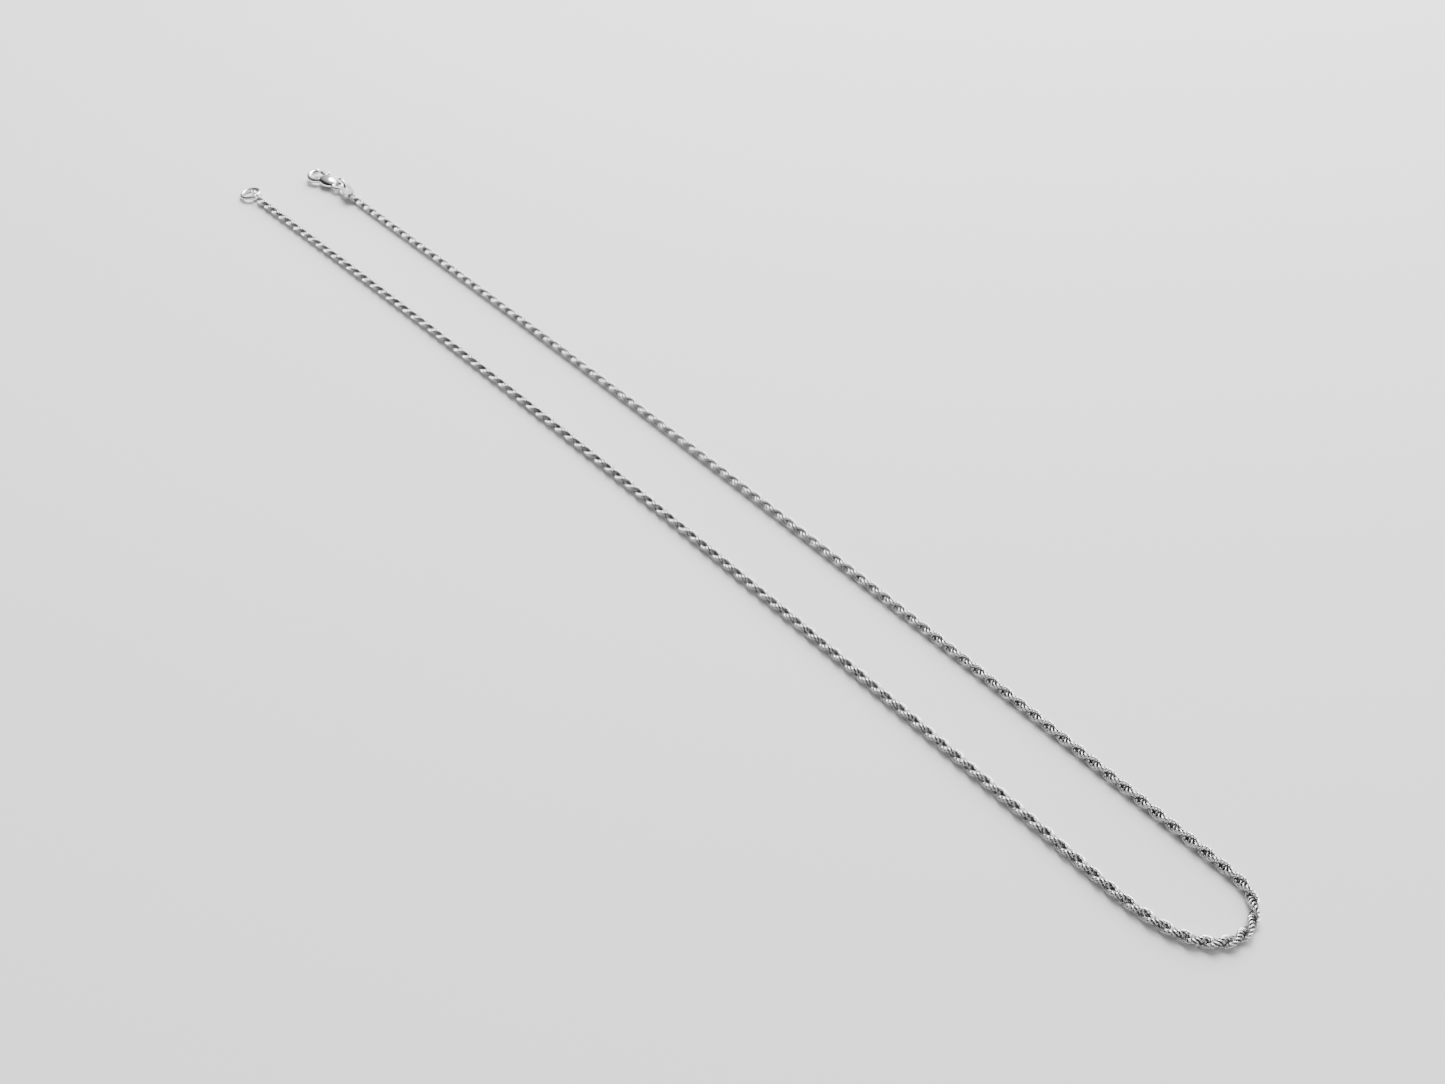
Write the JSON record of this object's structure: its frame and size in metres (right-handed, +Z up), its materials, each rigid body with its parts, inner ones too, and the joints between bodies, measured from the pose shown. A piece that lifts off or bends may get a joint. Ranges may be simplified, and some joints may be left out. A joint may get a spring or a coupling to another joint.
{
  "type": "chain necklace",
  "caption": "Slim rope chain necklace lying folded in a narrow U, with a lobster clasp, a blank tag and a plain end ring.",
  "frame": {"origin": "on the surface that the necklace lies on, under the middle of its bounding box", "axes": "+X along the folded chain towards its bend, +Y towards the clasp's run, +Z up"},
  "size_m": [0.257, 0.0218, 0.0036],
  "materials": {
    "chain_silver": "polished sterling silver wire",
    "fitting_silver": "polished sterling silver",
    "spring_steel": "bright spring wire"
  },
  "bodies": {
    "plain_run_01": {"chain_plain_run_01": "chain_silver", "plain_end_link": "fitting_silver"},
    "plain_run_02": {"chain_plain_run_02": "chain_silver"},
    "plain_run_03": {"chain_plain_run_03": "chain_silver"},
    "plain_run_04": {"chain_plain_run_04": "chain_silver"},
    "plain_run_05": {"chain_plain_run_05": "chain_silver"},
    "plain_run_06": {"chain_plain_run_06": "chain_silver"},
    "plain_run_07": {"chain_plain_run_07": "chain_silver"},
    "plain_run_08": {"chain_plain_run_08": "chain_silver"},
    "plain_run_09": {"chain_plain_run_09": "chain_silver"},
    "plain_run_10": {"chain_plain_run_10": "chain_silver"},
    "plain_run_11": {"chain_plain_run_11": "chain_silver"},
    "plain_run_12": {"chain_plain_run_12": "chain_silver"},
    "plain_run_13": {"chain_plain_run_13": "chain_silver"},
    "plain_run_14": {"chain_plain_run_14": "chain_silver"},
    "plain_run_15": {"chain_plain_run_15": "chain_silver"},
    "plain_run_16": {"chain_plain_run_16": "chain_silver"},
    "bend_01": {"chain_bend_01": "chain_silver"},
    "bend_02": {"chain_bend_02": "chain_silver"},
    "bend_03": {"chain_bend_03": "chain_silver"},
    "bend_04": {"chain_bend_04": "chain_silver"},
    "bend_05": {"chain_bend_05": "chain_silver"},
    "bend_06": {"chain_bend_06": "chain_silver"},
    "bend_07": {"chain_bend_07": "chain_silver"},
    "bend_08": {"chain_bend_08": "chain_silver"},
    "bend_09": {"chain_bend_09": "chain_silver"},
    "bend_10": {"chain_bend_10": "chain_silver"},
    "bend_11": {"chain_bend_11": "chain_silver"},
    "clasp_run_01": {"chain_clasp_run_01": "chain_silver"},
    "clasp_run_02": {"chain_clasp_run_02": "chain_silver"},
    "clasp_run_03": {"chain_clasp_run_03": "chain_silver"},
    "clasp_run_04": {"chain_clasp_run_04": "chain_silver"},
    "clasp_run_05": {"chain_clasp_run_05": "chain_silver"},
    "clasp_run_06": {"chain_clasp_run_06": "chain_silver"},
    "clasp_run_07": {"chain_clasp_run_07": "chain_silver"},
    "clasp_run_08": {"chain_clasp_run_08": "chain_silver"},
    "clasp_run_09": {"chain_clasp_run_09": "chain_silver"},
    "clasp_run_10": {"chain_clasp_run_10": "chain_silver"},
    "clasp_run_11": {"chain_clasp_run_11": "chain_silver"},
    "clasp_run_12": {"chain_clasp_run_12": "chain_silver"},
    "clasp_run_13": {"chain_clasp_run_13": "chain_silver"},
    "clasp_run_14": {"chain_clasp_run_14": "chain_silver"},
    "clasp_run_15": {"chain_clasp_run_15": "chain_silver"},
    "clasp_run_16": {"chain_clasp_run_16": "chain_silver", "clasp_end_link": "fitting_silver"},
    "jump_ring": {"clasp_ring": "fitting_silver"},
    "clasp": {"clasp_body": "fitting_silver", "clasp_pivot_pin": "fitting_silver", "clasp_spring": "spring_steel"},
    "lever": {"clasp_lever": "fitting_silver"},
    "tag": {"quality_tag": "fitting_silver"},
    "end_ring": {"end_ring": "fitting_silver"}
  },
  "joints": [
    {"name": "clasp_ring_swing", "type": "hinge", "parent": "clasp_run_16", "child": "jump_ring", "pos_m": [-0.11112, 0.00809, 0.00093], "axis": [0, 0, 1], "range_deg": [-35, 35]},
    {"name": "clasp_swing", "type": "hinge", "parent": "jump_ring", "child": "clasp", "pos_m": [-0.11247, 0.00805, 0.0018], "axis": [-0.0279, 0.9393, -0.342], "range_deg": [0, 60]},
    {"name": "quality_tag_swing", "type": "hinge", "parent": "jump_ring", "child": "tag", "pos_m": [-0.11247, 0.00805, 0.0018], "axis": [0.0279, -0.9393, 0.342], "range_deg": [0, 60]},
    {"name": "clasp_lever_pivot", "type": "hinge", "parent": "clasp", "child": "lever", "pos_m": [-0.11833, 0.00805, 0.0012], "axis": [0, 0, 1], "range_deg": [0, 25], "stiffness_Nm_per_rad": 0.008, "springref_deg": -5.73},
    {"name": "end_ring_swing", "type": "hinge", "parent": "plain_run_01", "child": "end_ring", "pos_m": [-0.12357, -0.00826, 0.0014], "axis": [-0.0454, 0.999, 0], "range_deg": [0, 75]},
    {"name": "side_bend_plain_01", "type": "hinge", "parent": "bend_08", "child": "bend_07", "pos_m": [0.12727, 0.00013, 0.00093], "axis": [0, 0, 1], "range_deg": [-1.5, 20]},
    {"name": "up_bend_clasp_01", "type": "hinge", "parent": "bend_08", "child": "bend_09", "pos_m": [0.12776, 0.00299, 0.00093], "axis": [0.9983, 0.059, 0], "range_deg": [0, 20]},
    {"name": "up_bend_plain_02", "type": "hinge", "parent": "bend_07", "child": "bend_06", "pos_m": [0.12575, -0.00233, 0.00093], "axis": [-0.7576, 0.6527, 0], "range_deg": [0, 20]},
    {"name": "side_bend_clasp_02", "type": "hinge", "parent": "bend_09", "child": "bend_10", "pos_m": [0.12694, 0.00577, 0.00093], "axis": [0, 0, 1], "range_deg": [-20, 1.6]},
    {"name": "side_bend_plain_03", "type": "hinge", "parent": "bend_06", "child": "bend_05", "pos_m": [0.12354, -0.00421, 0.00093], "axis": [0, 0, -1], "range_deg": [-20, 1.5]},
    {"name": "up_bend_clasp_03", "type": "hinge", "parent": "bend_10", "child": "bend_11", "pos_m": [0.12482, 0.00774, 0.00093], "axis": [-0.4264, -0.9045, 0], "range_deg": [-20, 10]},
    {"name": "up_bend_plain_04", "type": "hinge", "parent": "bend_05", "child": "bend_04", "pos_m": [0.12093, -0.00548, 0.00093], "axis": [0.3518, -0.9361, 0], "range_deg": [-20, 20]},
    {"name": "side_bend_clasp_04", "type": "hinge", "parent": "bend_11", "child": "clasp_run_01", "pos_m": [0.12194, 0.00813, 0.00093], "axis": [0, 0, -1], "range_deg": [-1.6, 20]},
    {"name": "side_bend_plain_05", "type": "hinge", "parent": "bend_04", "child": "bend_03", "pos_m": [0.11813, -0.00624, 0.00093], "axis": [0, 0, 1], "range_deg": [-1.6, 20]},
    {"name": "up_bend_clasp_05", "type": "hinge", "parent": "clasp_run_01", "child": "clasp_run_02", "pos_m": [0.10745, 0.00856, 0.00093], "axis": [0.0277, 0.9996, 0], "range_deg": [0, 30]},
    {"name": "up_bend_plain_06", "type": "hinge", "parent": "bend_03", "child": "bend_02", "pos_m": [0.11526, -0.00662, 0.00093], "axis": [-0.0916, 0.9958, 0], "range_deg": [0, 20]},
    {"name": "side_bend_clasp_06", "type": "hinge", "parent": "clasp_run_02", "child": "clasp_run_03", "pos_m": [0.09295, 0.00893, 0.00093], "axis": [0, 0, 1], "range_deg": [-30, 1.8]},
    {"name": "side_bend_plain_07", "type": "hinge", "parent": "bend_02", "child": "bend_01", "pos_m": [0.11236, -0.00677, 0.00093], "axis": [0, 0, -1], "range_deg": [-20, 1.6]},
    {"name": "up_bend_clasp_07", "type": "hinge", "parent": "clasp_run_03", "child": "clasp_run_04", "pos_m": [0.07846, 0.00925, 0.00093], "axis": [-0.0198, -0.9998, 0], "range_deg": [-30, 30]},
    {"name": "up_bend_plain_08", "type": "hinge", "parent": "bend_01", "child": "plain_run_16", "pos_m": [0.10946, -0.0068, 0.00093], "axis": [-0.0118, -0.9999, 0], "range_deg": [-20, 20]},
    {"name": "side_bend_clasp_08", "type": "hinge", "parent": "clasp_run_04", "child": "clasp_run_05", "pos_m": [0.06396, 0.0095, 0.00093], "axis": [0, 0, -1], "range_deg": [-2.1, 30]},
    {"name": "side_bend_plain_09", "type": "hinge", "parent": "plain_run_16", "child": "plain_run_15", "pos_m": [0.09497, -0.00632, 0.00093], "axis": [0, 0, 1], "range_deg": [-1.7, 30]},
    {"name": "up_bend_clasp_09", "type": "hinge", "parent": "clasp_run_05", "child": "clasp_run_06", "pos_m": [0.04946, 0.0097, 0.00093], "axis": [0.0119, 0.9999, 0], "range_deg": [0, 30]},
    {"name": "up_bend_plain_10", "type": "hinge", "parent": "plain_run_15", "child": "plain_run_14", "pos_m": [0.08047, -0.00591, 0.00093], "axis": [0.0253, 0.9997, 0], "range_deg": [0, 30]},
    {"name": "side_bend_clasp_10", "type": "hinge", "parent": "clasp_run_06", "child": "clasp_run_07", "pos_m": [0.03496, 0.00985, 0.00093], "axis": [0, 0, 1], "range_deg": [-30, 2.5]},
    {"name": "side_bend_plain_11", "type": "hinge", "parent": "plain_run_14", "child": "plain_run_13", "pos_m": [0.06598, -0.00558, 0.00093], "axis": [0, 0, -1], "range_deg": [-30, 2]},
    {"name": "up_bend_clasp_11", "type": "hinge", "parent": "clasp_run_07", "child": "clasp_run_08", "pos_m": [0.02046, 0.00993, 0.00093], "axis": [-0.004, -1, 0], "range_deg": [-30, 30]},
    {"name": "up_bend_plain_12", "type": "hinge", "parent": "plain_run_13", "child": "plain_run_12", "pos_m": [0.05148, -0.00533, 0.00093], "axis": [-0.0148, -0.9999, 0], "range_deg": [-30, 30]},
    {"name": "side_bend_clasp_12", "type": "hinge", "parent": "clasp_run_08", "child": "clasp_run_09", "pos_m": [0.00596, 0.00996, 0.00093], "axis": [0, 0, -1], "range_deg": [-3, 30]},
    {"name": "side_bend_plain_13", "type": "hinge", "parent": "plain_run_12", "child": "plain_run_11", "pos_m": [0.03698, -0.00515, 0.00093], "axis": [0, 0, 1], "range_deg": [-2.3, 30]},
    {"name": "up_bend_clasp_13", "type": "hinge", "parent": "clasp_run_09", "child": "clasp_run_10", "pos_m": [-0.00854, 0.00993, 0.00093], "axis": [-0.004, 1, 0], "range_deg": [0, 30]},
    {"name": "up_bend_plain_14", "type": "hinge", "parent": "plain_run_11", "child": "plain_run_10", "pos_m": [0.02248, -0.00505, 0.00093], "axis": [0.0044, 1, 0], "range_deg": [0, 30]},
    {"name": "side_bend_clasp_14", "type": "hinge", "parent": "clasp_run_10", "child": "clasp_run_11", "pos_m": [-0.02304, 0.00985, 0.00093], "axis": [0, 0, 1], "range_deg": [-30, 3.9]},
    {"name": "side_bend_plain_15", "type": "hinge", "parent": "plain_run_10", "child": "plain_run_09", "pos_m": [0.00798, -0.00503, 0.00093], "axis": [0, 0, -1], "range_deg": [-30, 2.7]},
    {"name": "up_bend_clasp_15", "type": "hinge", "parent": "clasp_run_11", "child": "clasp_run_12", "pos_m": [-0.03754, 0.0097, 0.00093], "axis": [0.0119, -0.9999, 0], "range_deg": [-30, 30]},
    {"name": "up_bend_plain_16", "type": "hinge", "parent": "plain_run_09", "child": "plain_run_08", "pos_m": [-0.00652, -0.00508, 0.00093], "axis": [0.0061, -1, 0], "range_deg": [-30, 30]},
    {"name": "side_bend_clasp_16", "type": "hinge", "parent": "clasp_run_12", "child": "clasp_run_13", "pos_m": [-0.05204, 0.0095, 0.00093], "axis": [0, 0, -1], "range_deg": [-5.4, 30]},
    {"name": "side_bend_plain_17", "type": "hinge", "parent": "plain_run_08", "child": "plain_run_07", "pos_m": [-0.02102, -0.0052, 0.00093], "axis": [0, 0, 1], "range_deg": [-3.4, 30]},
    {"name": "up_bend_clasp_17", "type": "hinge", "parent": "clasp_run_13", "child": "clasp_run_14", "pos_m": [-0.06653, 0.00925, 0.00093], "axis": [-0.0198, 0.9998, 0], "range_deg": [0, 30]},
    {"name": "up_bend_plain_18", "type": "hinge", "parent": "plain_run_07", "child": "plain_run_06", "pos_m": [-0.03552, -0.00541, 0.00093], "axis": [-0.0166, 0.9999, 0], "range_deg": [0, 30]},
    {"name": "side_bend_clasp_18", "type": "hinge", "parent": "clasp_run_14", "child": "clasp_run_15", "pos_m": [-0.08103, 0.00893, 0.00093], "axis": [0, 0, 1], "range_deg": [-30, 8.9]},
    {"name": "side_bend_plain_19", "type": "hinge", "parent": "plain_run_06", "child": "plain_run_05", "pos_m": [-0.05001, -0.00568, 0.00093], "axis": [0, 0, -1], "range_deg": [-30, 4.5]},
    {"name": "up_bend_clasp_19", "type": "hinge", "parent": "clasp_run_15", "child": "clasp_run_16", "pos_m": [-0.09553, 0.00856, 0.00093], "axis": [0.0277, -0.9996, 0], "range_deg": [-30, 30]},
    {"name": "up_bend_plain_20", "type": "hinge", "parent": "plain_run_05", "child": "plain_run_04", "pos_m": [-0.06451, -0.00604, 0.00093], "axis": [0.027, -0.9996, 0], "range_deg": [-30, 30]},
    {"name": "side_bend_plain_21", "type": "hinge", "parent": "plain_run_04", "child": "plain_run_03", "pos_m": [-0.079, -0.00647, 0.00093], "axis": [0, 0, 1], "range_deg": [-6.8, 30]},
    {"name": "up_bend_plain_22", "type": "hinge", "parent": "plain_run_03", "child": "plain_run_02", "pos_m": [-0.09349, -0.00698, 0.00093], "axis": [-0.0375, 0.9993, 0], "range_deg": [0, 30]},
    {"name": "side_bend_plain_23", "type": "hinge", "parent": "plain_run_02", "child": "plain_run_01", "pos_m": [-0.10798, -0.00756, 0.00093], "axis": [0, 0, -1], "range_deg": [-30, 13.3]}
  ]
}
